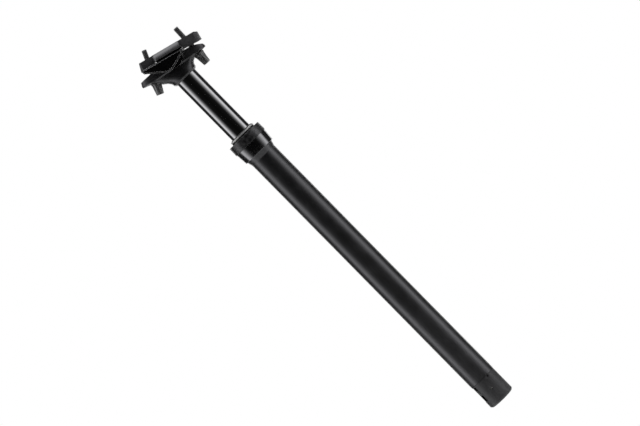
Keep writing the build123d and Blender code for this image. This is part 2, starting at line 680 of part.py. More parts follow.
def lower_cradle():
    outline = [
        (CRADLE_REAR, CRADLE_TOP),
        (CRADLE_REAR + CRADLE_END_SLOPE, CRADLE_END_DEPTH),
        (CRADLE_KEEL - CRADLE_KEEL_HALF, CRADLE_DEPTH),
        (CRADLE_KEEL + CRADLE_KEEL_HALF, CRADLE_DEPTH),
        (CRADLE_FRONT - CRADLE_END_SLOPE, CRADLE_END_DEPTH),
        (CRADLE_FRONT, CRADLE_TOP),
    ]
    ears = plate(outline, CRADLE_HALF_WIDTH)
    side_faces = ears.faces().sort_by(Axis.Y)
    ears = chamfer(side_faces[0].edges() + side_faces[-1].edges(), CRADLE_CHAMFER)
    ears = ears - Box(8 * ROCKER_RADIUS, 2 * CRADLE_EAR_INNER, 8 * ROCKER_RADIUS)
    rocker = cross_bar(ROCKER_RADIUS - RUNNING_FIT, CRADLE_EAR_INNER, 0, 0)
    room = 4 * ROCKER_RADIUS
    above = Pos(0, 0, CRADLE_TOP + room / 2) * Box(2 * room, 2 * room, room)
    rib_height = UPPER_BOTTOM - RUNNING_FIT - CRADLE_KEEL
    rib_length = EAR_FRONT - EAR_REAR
    rib = Box(rib_length, 2 * CRADLE_RIB_HALF_WIDTH, rib_height)
    rib = Pos((EAR_FRONT + EAR_REAR) / 2, 0, CRADLE_KEEL + rib_height / 2) * rib
    rib = rib & cross_bar(ROCKER_RADIUS - RUNNING_FIT, CRADLE_EAR_INNER, 0, 0)
    return CLAMP_FRAME * (ears + rocker - above - rail_grooves() + rib)


def upper_outline():
    """Side outline of the upper clamp's spine with its front and rear blocks, in the clamp's frame."""
    return [
        (UPPER_REAR, UPPER_REAR_BOTTOM),
        (UPPER_REAR + UPPER_END_TAPER, UPPER_TOP),
        (UPPER_FRONT - UPPER_END_TAPER, UPPER_TOP),
        (UPPER_FRONT, UPPER_TOP - UPPER_FRONT_DROP),
        (UPPER_FRONT, BLOCK_BOTTOM),
        (NUT_FRONT + NUT_OD, BLOCK_BOTTOM),
        (BLOCK_INNER_FRONT, BLOCK_BOTTOM + BLOCK_INNER_RISE),
        (BLOCK_INNER_FRONT, UPPER_BOTTOM),
        (BLOCK_INNER_REAR, UPPER_BOTTOM),
        (BLOCK_INNER_REAR, BLOCK_BOTTOM + BLOCK_INNER_RISE),
        (NUT_REAR - NUT_OD, BLOCK_BOTTOM),
    ]


def upper_plan():
    """Plan outline of the spine, with chamfered corners at both ends."""
    half = BLOCK_HALF_WIDTH
    right = [
        (UPPER_FRONT, BLOCK_END_HALF_WIDTH),
        (UPPER_FRONT - BLOCK_END_LENGTH, half),
        (UPPER_REAR + BLOCK_END_LENGTH, half),
        (UPPER_REAR, BLOCK_END_HALF_WIDTH),
    ]
    return right + [(x, -y) for x, y in reversed(right)]


def upper_clamp():
    spine = plate(upper_outline(), BLOCK_HALF_WIDTH)
    plan = extrude(make_face(Polyline(*upper_plan(), close=True)), 4 * UPPER_TOP, both=True)
    body = spine & plan
    ear_length = EAR_FRONT - EAR_REAR
    ear_middle = (EAR_FRONT + EAR_REAR) / 2
    for side in (-1, 1):
        bar = Rot(0, 90, 0) * Cylinder(EAR_RADIUS, ear_length)
        bar = fillet(bar.edges().group_by(Axis.X)[0], EAR_END_FILLET)
        body = body + Pos(ear_middle, side * EAR_CENTRE_OFFSET, UPPER_BOTTOM) * bar
    web_height = UPPER_TOP - UPPER_BOTTOM
    web = Box(ear_length, 2 * EAR_CENTRE_OFFSET, web_height)
    body = body + Pos(ear_middle, 0, UPPER_BOTTOM + web_height / 2) * web
    under = Box(ear_length, 4 * CRADLE_HALF_WIDTH, 2 * EAR_RADIUS)
    body = body - Pos(ear_middle, 0, UPPER_BOTTOM - EAR_RADIUS) * under
    body = CLAMP_FRAME * (body - rail_grooves())
    for end, place in NUT_PLACES.items():
        blind_end = NUT_HALF_LENGTH + LOOSE_FIT
        bore_middle = (2 * BLOCK_HALF_WIDTH - blind_end) / 2
        nut_bore = cross_bar(NUT_OD / 2 + RUNNING_FIT, BLOCK_HALF_WIDTH + blind_end / 2, place.X, place.Z)
        body = body - Pos(0, bore_middle, 0) * nut_bore
        lean = BOLT_FRAMES[end].orientation.Y
        for tilt in (TILT_MIN, TILT_MIN / 2, 0, TILT_MAX):
            hole = Cylinder(BOLT_R + NUT_HOLE_CLEARANCE, 4 * NUT_OD)
            body = body - Pos(place.X, 0, place.Z) * Rot(0, lean - SWING_RATIO * tilt, 0) * hole
    return body


def barrel_nut(end):
    place = NUT_PLACES[end]
    hole = Rot(0, BOLT_FRAMES[end].orientation.Y, 0) * Cylinder(BOLT_R + NUT_HOLE_CLEARANCE, 2 * NUT_OD)
    return Pos(place.X, 0, place.Z) * (cross_bar(NUT_OD / 2, NUT_HALF_LENGTH, 0, 0) - hole)


def saddle_washer(end):
    barrel = cross_bar(WASHER_RADIUS, WASHER_HALF_WIDTH, 0, 0)
    below = Pos(0, 0, -WASHER_RADIUS) * Box(4 * WASHER_RADIUS, 4 * WASHER_RADIUS, 2 * WASHER_RADIUS)
    hole = Cylinder(BOLT_R, 4 * WASHER_RADIUS)
    return BOLT_FRAMES[end] * (barrel - below - hole)


def clamp_bolt(end):
    body = turned([
        (0, -BOLT_HEAD_LENGTH),
        (BOLT_HEAD_END_OD / 2, -BOLT_HEAD_LENGTH),
        (BOLT_HEAD_TOP_OD / 2, -FLANGE_THICKNESS),
        (FLANGE_R, -FLANGE_THICKNESS),
        (FLANGE_R, 0),
        (BOLT_R, 0),
        (BOLT_R, BOLT_LENGTH - BOLT_TIP_CHAMFER),
        (BOLT_R - BOLT_TIP_CHAMFER, BOLT_LENGTH),
        (0, BOLT_LENGTH),
    ])
    key = extrude(RegularPolygon(BOLT_KEY_SIZE / 2 / cos(radians(30)), 6), BOLT_KEY_DEPTH)
    return BOLT_FRAMES[end] * (body - Pos(0, 0, -BOLT_HEAD_LENGTH) * key)


PIECES = {
    "outer_tube": outer_tube,
    "bushing_housing": bushing_housing,
    "seal_cap": seal_cap,
    "wiper_seal": wiper_seal,
    "wiper_ring": wiper_ring,
    "foam_ring": foam_ring,
    "upper_bushing": upper_bushing,
    "actuator_housing": actuator_housing,
    "cable_stop": cable_stop,
    "pivot_pin": pivot_pin,
    "cam_lever": cam_lever,
    "cable_barrel": cable_barrel,
    "pinch_screw": pinch_screw,
    "release_pin": release_pin,
    "valve_poppet": valve_poppet,
    "piston_rod": piston_rod,
    "rod_locknut": rod_locknut,
    "piston": piston,
    "piston_seal": piston_seal,
    "stanchion_tube": stanchion_tube,
    "lower_bushing": lower_bushing,
    "guide_keys": guide_keys,
    "retaining_ring": retaining_ring,
    "end_plug": end_plug,
    "cartridge_tube": cartridge_tube,
    "cartridge_gland": cartridge_gland,
    "rod_seal": rod_seal,
    "gland_oring": gland_oring,
    "topout_bumper": topout_bumper,
    "cartridge_cap": cartridge_cap,
    "fill_valve": fill_valve,
    "floating_piston": floating_piston,
    "floating_oring": floating_oring,
    "clamp_head": head,
    "lower_cradle": lower_cradle,
    "upper_clamp": upper_clamp,
}
PAIRED_PIECES = {
    "barrel_nut": barrel_nut,
    "saddle_washer": saddle_washer,
    "clamp_bolt": clamp_bolt,
}

os.makedirs("parts", exist_ok=True)
for name, make in PIECES.items():
    export_step(make(), f"parts/{name}.step")
for name, make in PAIRED_PIECES.items():
    for end in BOLT_FRAMES:
        export_step(make(end), f"parts/{end}_{name}.step")
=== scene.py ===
"""Telescopic seatpost with a two-bolt saddle clamp, dressed and lit as a studio product shot."""

import json
import logging
import math
from contextlib import contextmanager
from dataclasses import dataclass
from enum import Enum
from typing import Callable, Iterator, Sequence

import bpy
from mathutils import Matrix, Vector

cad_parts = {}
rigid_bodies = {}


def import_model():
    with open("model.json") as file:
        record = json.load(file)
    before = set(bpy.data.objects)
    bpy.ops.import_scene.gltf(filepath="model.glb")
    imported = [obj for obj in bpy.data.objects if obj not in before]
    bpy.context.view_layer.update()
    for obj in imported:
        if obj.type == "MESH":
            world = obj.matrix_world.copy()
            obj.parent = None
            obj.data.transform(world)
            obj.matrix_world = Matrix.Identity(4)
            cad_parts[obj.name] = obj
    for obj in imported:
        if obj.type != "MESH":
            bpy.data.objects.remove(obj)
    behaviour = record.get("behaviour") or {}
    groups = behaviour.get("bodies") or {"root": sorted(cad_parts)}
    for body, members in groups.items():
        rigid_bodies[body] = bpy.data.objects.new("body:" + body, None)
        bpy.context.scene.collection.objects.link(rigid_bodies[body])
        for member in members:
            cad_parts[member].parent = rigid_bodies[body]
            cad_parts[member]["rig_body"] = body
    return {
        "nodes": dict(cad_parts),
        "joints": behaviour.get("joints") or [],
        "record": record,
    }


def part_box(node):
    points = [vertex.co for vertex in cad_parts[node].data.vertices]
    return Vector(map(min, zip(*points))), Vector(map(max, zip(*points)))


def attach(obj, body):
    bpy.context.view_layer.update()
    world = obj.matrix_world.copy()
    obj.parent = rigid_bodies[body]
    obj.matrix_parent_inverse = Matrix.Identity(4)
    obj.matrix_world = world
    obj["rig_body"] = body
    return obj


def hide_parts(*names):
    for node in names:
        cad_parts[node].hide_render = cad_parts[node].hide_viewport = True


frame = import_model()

LOG = logging.getLogger("seatpost")
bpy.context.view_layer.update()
MILLIMETRE = 0.001
ROUND_STEPS = 96
SMOOTH_ANGLE = math.radians(32)
DOUBLES_MM = 0.005
EDGE_SLOT = 1

Point2 = tuple[float, float]
Placer = Callable[[float, float], Vector]


class Axis(Enum):
    """Which way a round tool lies, as its turn about X, Y and Z."""

    Y = (math.pi / 2, 0, 0)
    Z = (0, 0, 0)


class End(Enum):
    """The two ends of the head, each with its bolt."""

    FRONT = "front"
    REAR = "rear"


# ---------------------------------------------------------------- small helpers


def mm(value: float) -> float:
    """Return a length given in millimetres in metres."""
    return value * MILLIMETRE


def linear(hex_colour: str) -> tuple[float, float, float, float]:
    """Turn an sRGB hex colour into linear RGBA.

    Args:
        hex_colour: Six hex digits, such as "1a1a1c".

    Returns:
        The colour in linear light, with an alpha of 1.
    """
    channels = [int(hex_colour[i : i + 2], 16) / 255 for i in (0, 2, 4)]
    return tuple(c / 12.92 if c <= 0.04045 else ((c + 0.055) / 1.055) ** 2.4 for c in channels) + (1.0,)


def per_metre(size_mm: float) -> float:
    """Return a texture scale whose features are about this many millimetres wide."""
    return 1 / mm(size_mm)


def add_node(tree: bpy.types.NodeTree, kind: str, inputs: dict | None = None, **settings) -> bpy.types.Node:
    """Add one shader node with its settings, values and links.

    Args:
        tree: The node tree that it goes into.
        kind: The node's bl_idname.
        inputs: Input name or index to a value, or to the output socket that feeds it.
        settings: Attributes of the node.

    Returns:
        The new node.
    """
    node = tree.nodes.new(kind)
    for key, value in settings.items():
        setattr(node, key, value)
    for key, value in (inputs or {}).items():
        if isinstance(value, bpy.types.NodeSocket):
            tree.links.new(value, node.inputs[key])
        else:
            node.inputs[key].default_value = value
    return node


def activate(piece: bpy.types.Object) -> None:
    """Make one object the only selected and the active one.

    Args:
        piece: The object.
    """
    bpy.ops.object.select_all(action="DESELECT")
    piece.select_set(True)
    bpy.context.view_layer.objects.active = piece


@contextmanager
def editing(piece: bpy.types.Object) -> Iterator[None]:
    """Open edit mode on a piece with all of it selected, and leave edit mode afterwards.

    Args:
        piece: The piece.

    Returns:
        A context in which the piece is edited.
    """
    activate(piece)
    bpy.ops.object.mode_set(mode="EDIT")
    bpy.ops.mesh.select_all(action="SELECT")
    yield
    bpy.ops.object.mode_set(mode="OBJECT")


def apply_modifier(piece: bpy.types.Object, kind: str, **settings) -> None:
    """Add a modifier and apply it.

    Args:
        piece: The piece that it changes.
        kind: The modifier's type, such as "BEVEL".
        settings: Attributes of the modifier.
    """
    activate(piece)
    modifier = piece.modifiers.new(kind.lower(), kind)
    for key, value in settings.items():
        setattr(modifier, key, value)
    bpy.ops.object.modifier_apply(modifier=modifier.name)


def cut(piece: bpy.types.Object, tool: bpy.types.Object, operation: str = "DIFFERENCE") -> None:
    """Join or cut a piece with a tool, which is used up."""
    apply_modifier(piece, "BOOLEAN", object=tool, operation=operation, solver="EXACT")
    bpy.data.objects.remove(tool)


def soften(
    piece: bpy.types.Object, width_mm: float, segments: int = 2, angle: float = 30, edge_slot: int = -1
) -> None:
    """Round a piece's sharp edges and shade it smooth.

    Args:
        piece: The piece.
        width_mm: Width of the rounding, in millimetres.
        segments: Faces across the rounding.
        angle: Edges sharper than this many degrees are rounded.
        edge_slot: Material slot of the rounding, or -1 for that of the faces beside it.
    """
    apply_modifier(
        piece,
        "BEVEL",
        width=mm(width_mm),
        segments=segments,
        limit_method="ANGLE",
        angle_limit=math.radians(angle),
        use_clamp_overlap=True,
        miter_outer="MITER_ARC",
        material=edge_slot,
    )
    smooth(piece)


def smooth(piece: bpy.types.Object) -> None:
    """Shade a piece smooth except across its sharp edges."""
    activate(piece)
    bpy.ops.object.shade_smooth_by_angle(angle=SMOOTH_ANGLE)


def tidy_normals(piece: bpy.types.Object) -> None:
    """Merge doubled vertices and turn every face outwards.

    Args:
        piece: The piece.
    """
    with editing(piece):
        bpy.ops.mesh.remove_doubles(threshold=mm(DOUBLES_MM))
        bpy.ops.mesh.normals_make_consistent(inside=False)


def settle(piece: bpy.types.Object, place: Matrix | None = None) -> None:
    """Put a piece's place into its mesh, so that its object sits at the origin.

    Args:
        piece: The piece.
        place: A frame that the piece is moved into first.
    """
    piece.matrix_world = (place or Matrix.Identity(4)) @ piece.matrix_world
    activate(piece)
    bpy.ops.object.transform_apply(location=True, rotation=True, scale=True)


def polygon(name: str, points: Sequence[Vector]) -> bpy.types.Object:
    """Add a closed loop of edges, started from a circle.

    Args:
        name: The piece's name.
        points: The loop's points, in metres.

    Returns:
        The loop.
    """
    bpy.ops.object.select_all(action="DESELECT")
    bpy.ops.mesh.primitive_circle_add(vertices=len(points), radius=mm(1))
    piece = bpy.context.object
    piece.name = piece.data.name = name
    for vertex, point in zip(piece.data.vertices, points):
        vertex.co = point
    return piece


def joined(pieces: Sequence[bpy.types.Object], name: str) -> bpy.types.Object:
    """Join several meshes into one object.

    Args:
        pieces: The meshes' objects, which are used up apart from the first.
        name: The joined piece's name.

    Returns:
        The joined piece.
    """
    activate(pieces[0])
    for piece in pieces:
        piece.select_set(True)
    bpy.ops.object.join()
    pieces[0].name = pieces[0].data.name = name
    return pieces[0]


def lathe(name: str, profile: Sequence[Point2], steps: int = ROUND_STEPS) -> bpy.types.Object:
    """Spin a closed profile of (radius, height) points in mm round the vertical axis.

    Args:
        name: The piece's name.
        profile: The profile's corners, in millimetres.
        steps: Number of flats round the piece.

    Returns:
        The turned piece, with its normals outwards.
    """
    piece = polygon(name, [Vector((mm(r), 0, mm(z))) for r, z in profile])
    with editing(piece):
        bpy.ops.mesh.spin(steps=steps, angle=2 * math.pi, center=(0, 0, 0), axis=(0, 0, 1))
    tidy_normals(piece)
    return piece


def cylinder(
    radius: float, length: float, centre: Vector, axis: Axis = Axis.Z, steps: int = 64
) -> bpy.types.Object:
    """Add a plain cylinder as a tool that cuts.

    Args:
        radius: Its radius, in millimetres.
        length: Its length, in millimetres.
        centre: Its middle, in millimetres.
        axis: Which way it lies.
        steps: Number of flats round it.

    Returns:
        The cylinder.
    """
    bpy.ops.object.select_all(action="DESELECT")
    bpy.ops.mesh.primitive_cylinder_add(
        vertices=steps, radius=mm(radius), depth=mm(length), location=centre * MILLIMETRE, rotation=axis.value
    )
    tool = bpy.context.object
    settle(tool)
    return tool


def joint_place(name: str) -> Vector:
    """Return the place of one of the frame's hinges, in millimetres."""
    joint = next(j for j in frame["joints"] if j["name"] == name)
    return Vector(joint["pos_m"]) / MILLIMETRE


def leaning(place: Vector, degrees: float) -> Matrix:
    """Return a frame in metres at a place in mm, leaning forward by an angle about +Y."""
    return Matrix.Translation(place * MILLIMETRE) @ Matrix.Rotation(math.radians(degrees), 4, "Y")


# ---------------------------------------------------------------- finishes


class Grain(Enum):
    """How a surface's fine relief runs, as the scale of its pattern along X, Y and Z."""

    EVEN = (1, 1, 1)
    TURNED = (0.04, 0.04, 1)
    DRAWN = (1, 1, 0.03)


@dataclass(frozen=True)
class Finish:
    """One material: its colours, gloss and fine relief, with all patterns in real millimetres."""

    name: str
    dark: str
    light: str
    metallic: float
    roughness: float
    roughness_spread: float
    grain: Grain
    grain_mm: float
    relief_mm: float
    patch_mm: float = 18.0

    def build(self) -> bpy.types.Material:
        """Make the material once.

        Returns:
            The material.
        """
        if self.name in bpy.data.materials:
            return bpy.data.materials[self.name]
        material = bpy.data.materials.new(self.name)
        material.use_nodes = True
        tree = material.node_tree
        tree.nodes.clear()
        place = add_node(tree, "ShaderNodeTexCoord").outputs["Object"]
        stretch = {"Vector": place, "Scale": self.grain.value}
        stretched = add_node(tree, "ShaderNodeMapping", stretch).outputs[0]
        fine = add_node(
            tree,
            "ShaderNodeTexNoise",
            {"Vector": stretched, "Scale": per_metre(self.grain_mm), "Detail": 3.0, "Roughness": 0.6},
        ).outputs[0]
        patches = add_node(
            tree, "ShaderNodeTexNoise", {"Vector": place, "Scale": per_metre(self.patch_mm), "Detail": 4.0}
        ).outputs[0]
        colour = add_node(
            tree,
            "ShaderNodeMix",
            {0: self.mixed(tree, fine, patches), 6: linear(self.dark), 7: linear(self.light)},
            data_type="RGBA",
        )
        rough = add_node(
            tree,
            "ShaderNodeMapRange",
            {
                "Value": patches,
                "From Min": 0.3,
                "From Max": 0.7,
                "To Min": self.roughness - self.roughness_spread,
                "To Max": self.roughness + self.roughness_spread,
            },
        ).outputs[0]
        bump = add_node(
            tree, "ShaderNodeBump", {"Height": fine, "Distance": mm(self.relief_mm), "Strength": 1.0}
        ).outputs[0]
        shader = add_node(
            tree,
            "ShaderNodeBsdfPrincipled",
            {
                "Base Color": colour.outputs[2],
                "Metallic": self.metallic,
                "Roughness": rough,
                "Normal": bump,
            },
        )
        add_node(tree, "ShaderNodeOutputMaterial", {"Surface": shader.outputs[0]})
        return material

    @staticmethod
    def mixed(
        tree: bpy.types.NodeTree, fine: bpy.types.NodeSocket, patches: bpy.types.NodeSocket
    ) -> bpy.types.NodeSocket:
        """Return half of the fine pattern and half of the patches, as one factor."""
        both = add_node(tree, "ShaderNodeMath", {0: fine, 1: patches}, operation="ADD").outputs[0]
        spread = add_node(tree, "ShaderNodeMapRange", {"Value": both, "From Min": 0.7, "From Max": 1.3})
        return spread.outputs[0]


# Drawn aluminium tube, satin black anodised: soft grey bands, a dark middle and faint lines along it.
TUBE_ANODISED = Finish(
    "aluminium_drawn_satin_anodised", "505052", "5a5a5c", 1.0, 0.38, 0.03, Grain.DRAWN, 0.5, 0.004
)
# Ground and hard-anodised aluminium: nearly a black mirror, with very fine grinding rings.
STANCHION_ANODISED = Finish(
    "aluminium_ground_hard_anodised", "8c8c8e", "98989a", 1.0, 0.12, 0.02, Grain.TURNED, 0.4, 0.001
)
# Turned aluminium, bright-dipped and anodised gloss black: hard bright bands on black.
COLLAR_GLOSS = Finish(
    "aluminium_turned_gloss_anodised", "6e6e70", "7a7a7c", 1.0, 0.16, 0.02, Grain.TURNED, 0.5, 0.001
)
# Turned aluminium, bead-blasted and anodised black: dull, a little mottled.
CAP_BLASTED = Finish(
    "aluminium_blasted_matt_anodised", "222223", "626264", 0.85, 0.38, 0.1, Grain.EVEN, 0.7, 0.02, 4.0
)
# Forged aluminium, shot-peened and anodised black: satin; its rounded edges take a separate pale material that
# is a painted highlight.
HEAD_FORGED = Finish(
    "aluminium_forged_peened_anodised", "3c3c3e", "4a4a4c", 0.75, 0.33, 0.05, Grain.EVEN, 0.8, 0.012, 9.0
)
# Forged and tumbled aluminium, anodised dark grey: a softer, lighter satin than the head.
CLAMP_FORGED = Finish(
    "aluminium_forged_tumbled_anodised", "5c5c5e", "6a6a6c", 0.6, 0.4, 0.05, Grain.EVEN, 0.8, 0.014, 8.0
)
# Forged and ground aluminium, anodised deep black: the sides stay black, and the edges take a separate pale
# material that is a painted highlight.
CRADLE_FORGED = Finish(
    "aluminium_forged_ground_anodised", "202021", "2a2a2b", 0.9, 0.3, 0.05, Grain.EVEN, 0.8, 0.01, 8.0
)
# The cradle's rounded edges: a painted highlight, a pale line round each black side that stands in for light
# caught by the chamfers.
CRADLE_EDGE_HIGHLIGHT = Finish(
    "cradle_edge_painted_highlight", "b4b4b6", "cacacc", 0.4, 0.35, 0.05, Grain.EVEN, 0.5, 0.004, 9.0
)
# The upper clamp's rounded edges: a painted highlight, pale grey where the edges would catch the light.
CLAMP_EDGE_HIGHLIGHT = Finish(
    "clamp_edge_painted_highlight", "7c7c7e", "98989a", 0.5, 0.35, 0.05, Grain.EVEN, 0.5, 0.006, 6.0
)
# The head's rounded edges: a painted highlight, a soft grey line where the edges would catch the light.
HEAD_EDGE_HIGHLIGHT = Finish(
    "head_edge_painted_highlight", "808082", "a0a0a2", 0.5, 0.33, 0.05, Grain.EVEN, 0.5, 0.006, 7.0
)
# Machined aluminium foot, matt anodised: an even dark grey.
FOOT_MACHINED = Finish(
    "aluminium_machined_matt_anodised", "434345", "4d4d4f", 0.6, 0.5, 0.04, Grain.TURNED, 0.6, 0.006
)
# Black-oxide steel, handled: a dark grey with a slight oily shine.
BOLT_OXIDE = Finish("steel_black_oxide", "626263", "7e7e7f", 0.5, 0.3, 0.06, Grain.EVEN, 0.5, 0.006, 3.0)
# Polished and clear-passivated stainless ring: pale all round, from its fine satin brushing.
RING_BRIGHT = Finish(
    "steel_stainless_satin_brushed", "d0d0d0", "e4e4e4", 0.3, 0.5, 0.03, Grain.TURNED, 0.3, 0.001, 6.0
)
# Ground steel: bright.
STEEL_GROUND = Finish("steel_ground", "b4b4b2", "cacac8", 1.0, 0.24, 0.05, Grain.TURNED, 0.3, 0.002, 6.0)
# Machined, clear-anodised aluminium: silvery grey.
LEVER_MACHINED = Finish(
    "aluminium_machined_clear_anodised", "a4a6a8", "bcbec0", 1.0, 0.3, 0.05, Grain.EVEN, 0.4, 0.004, 5.0
)
# Moulded nitrile rubber: black and dull.
SEAL_RUBBER = Finish(
    "rubber_moulded_nitrile", "101011", "191919", 0.0, 0.55, 0.08, Grain.EVEN, 0.5, 0.01, 4.0
)
# Turned brass: yellow metal.
BRASS_TURNED = Finish("brass_turned", "a5803c", "b9934a", 1.0, 0.3, 0.05, Grain.TURNED, 0.3, 0.003, 5.0)
# Wool felt soaked in oil: brown-grey.
FOAM_FELT = Finish("felt_oiled", "4a453c", "6a6355", 0.0, 0.9, 0.05, Grain.EVEN, 0.6, 0.08, 5.0)
# Moulded low-friction plastic: off-white.
BUSHING_POM = Finish("plastic_moulded_acetal", "c3bba8", "d0c9b8", 0.0, 0.42, 0.05, Grain.EVEN, 0.6, 0.005)
# Painted board: pale and matt, slightly uneven.
FLOOR_PAINTED = Finish("floor_painted_pale", "e6e6e4", "f0f0ee", 0.0, 0.8, 0.05, Grain.EVEN, 4.0, 0.05)

SLOT_FINISHES: dict[str, Finish] = {
    "tube_black": TUBE_ANODISED,
    "stanchion_black": STANCHION_ANODISED,
    "collar_gloss": COLLAR_GLOSS,
    "cap_matte": CAP_BLASTED,
    "head_black": HEAD_FORGED,
    "clamp_grey": CLAMP_FORGED,
    "foot_grey": FOOT_MACHINED,
    "bolt_black": BOLT_OXIDE,
    "plain_steel": STEEL_GROUND,
    "lever_silver": LEVER_MACHINED,
    "brass_keys": BRASS_TURNED,
    "seal_rubber": SEAL_RUBBER,
    "foam": FOAM_FELT,
    "bushing_plastic": BUSHING_POM,
}

# Pale painted highlights for the rounded edges of the cradle, upper clamp and head.
EDGE_HIGHLIGHT_FINISHES: dict[str, Finish] = {
    "lower_cradle": CRADLE_EDGE_HIGHLIGHT,
    "upper_clamp": CLAMP_EDGE_HIGHLIGHT,
    "clamp_head": HEAD_EDGE_HIGHLIGHT,
}


def paint(piece: bpy.types.Object, finish: Finish, edge: Finish | None = None) -> None:
    """Give a piece its material slots.

    Args:
        piece: The piece.
        finish: The finish of its faces.
        edge: The finish of its rounded edges, if they have their own; on the cradle, upper clamp and head this
            is a painted highlight.
    """
    piece.data.materials.clear()
    for part in (finish, edge) if edge else (finish,):
        piece.data.materials.append(part.build())


def dress(piece: bpy.types.Object, body: str, slot: str, *nodes: str) -> None:
    """Give a finished, painted piece its place in the model, and report it.

    Args:
        piece: The piece.
        body: The body that it rides on.
        slot: The record's material slot of the nodes that it stands for; not used.
        nodes: The frame's nodes that it stands for.
    """
    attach(piece, body)
    if nodes:
        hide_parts(*nodes)
    LOG.info("%s: %d faces, rides on %s", piece.name, len(piece.data.polygons), body)


# ---------------------------------------------------------------- studio


@dataclass
class Studio:
    """Camera, lit white surround and floor, with distances in metres and angles in degrees."""

    target_height: float = 0.2750
    distance: float = 3.49
    azimuth: float = 3.0
    elevation: float = 1.7
    roll: float = 44.55
    lens: float = 186.0
    clip_end: float = 50.0
    floor_drop: float = 0.30
    floor_radius: float = 1.2
    panel_strength: float = 2.0
    ceiling: float = 2.2
    ceiling_start: float = 0.72
    ceiling_full: float = 0.92
    # Degrees round from the camera's side, and how brightly the surround glows there.
    panel_glow: tuple[Point2, ...] = (
        (0, 0.004),
        (40, 0.008),
        (50, 0.06),
        (62, 0.28),
        (75, 0.80),
        (82, 1.0),
        (90, 0.95),
        (95, 0.30),
        (99, 0.02),
        (146, 0.02),
        (152, 0.9),
        (164, 0.9),
        (170, 0.12),
        (180, 0.12),
    )

    def build(self) -> None:
        """Make the camera, the lit surround and the floor."""
        self.camera()
        self.surround()
        self.floor()

    def camera(self) -> None:
        """Aim the camera at the post's axis, rolled so that the post lies across the frame."""
        azimuth, elevation, roll = map(math.radians, (self.azimuth, self.elevation, self.roll))
        flat = math.cos(elevation)
        back = Vector((math.sin(azimuth) * flat, -math.cos(azimuth) * flat, math.sin(elevation)))
        level = Vector((math.cos(azimuth), math.sin(azimuth), 0))
        upright = back.cross(level)
        right = level * math.cos(roll) - upright * math.sin(roll)
        up = level * math.sin(roll) + upright * math.cos(roll)
        bpy.ops.object.camera_add()
        camera = bpy.context.object
        camera.data.lens = self.lens
        camera.data.clip_end = self.clip_end
        turn = Matrix((right, up, back)).transposed().to_4x4()
        place = Vector((0, 0, self.target_height)) + back * self.distance
        camera.matrix_world = Matrix.Translation(place) @ turn
        bpy.context.scene.camera = camera

    def surround(self) -> None:
        """Surround the post with tall soft panels, a soft ceiling and dark cards, seen as white."""
        world = bpy.data.worlds.new("studio")
        world.use_nodes = True
        bpy.context.scene.world = world
        tree = world.node_tree
        tree.nodes.clear()
        way = add_node(tree, "ShaderNodeTexCoord").outputs["Generated"]
        parts = add_node(tree, "ShaderNodeSeparateXYZ", {0: way}).outputs
        sideways = add_node(tree, "ShaderNodeMath", {0: parts["X"]}, operation="ABSOLUTE").outputs[0]
        forward = add_node(tree, "ShaderNodeMath", {0: parts["Y"], 1: -1.0}, operation="MULTIPLY").outputs[0]
        turn = add_node(tree, "ShaderNodeMath", {0: sideways, 1: forward}, operation="ARCTAN2").outputs[0]
        share = add_node(tree, "ShaderNodeMath", {0: turn, 1: math.pi}, operation="DIVIDE").outputs[0]
        panels = add_node(tree, "ShaderNodeValToRGB", {0: share})
        ramp = panels.color_ramp.elements
        for degrees, _ in self.panel_glow[1:-1]:
            ramp.new(degrees / 180)
        for element, (degrees, glow) in zip(ramp, self.panel_glow):
            element.position = degrees / 180
            element.color = (glow, glow, glow, 1)
        strong = {0: panels.outputs[0], 1: self.panel_strength}
        lit = add_node(tree, "ShaderNodeMath", strong, operation="MULTIPLY").outputs[0]
        tall = add_node(tree, "ShaderNodeMath", {0: parts["Z"]}, operation="ABSOLUTE").outputs[0]
        ceiling = add_node(
            tree,
            "ShaderNodeMapRange",
            {
                "Value": tall,
                "From Min": self.ceiling_start,
                "From Max": self.ceiling_full,
                "To Max": self.ceiling,
            },
        ).outputs[0]
        both = add_node(tree, "ShaderNodeMath", {0: lit, 1: ceiling}, operation="MAXIMUM").outputs[0]
        seen = add_node(tree, "ShaderNodeLightPath").outputs["Is Camera Ray"]
        strength = add_node(tree, "ShaderNodeMix", {0: seen, 2: both, 3: 1.0}, data_type="FLOAT").outputs[0]
        light = add_node(tree, "ShaderNodeBackground", {"Color": (1, 1, 1, 1), "Strength": strength})
        add_node(tree, "ShaderNodeOutputWorld", {"Surface": light.outputs[0]})
        bpy.context.scene.view_settings.view_transform = "Standard"

    def floor(self) -> None:
        """Lay a round, pale, plain floor well below the post."""
        bpy.ops.object.select_all(action="DESELECT")
        bpy.ops.mesh.primitive_circle_add(
            vertices=ROUND_STEPS,
            radius=self.floor_radius,
            fill_type="NGON",
            location=(0, 0, -self.floor_drop),
        )
        floor = bpy.context.object
        floor.name = "studio_floor"
        settle(floor)
        floor.data.materials.append(FLOOR_PAINTED.build())


# ---------------------------------------------------------------- softened frame pieces


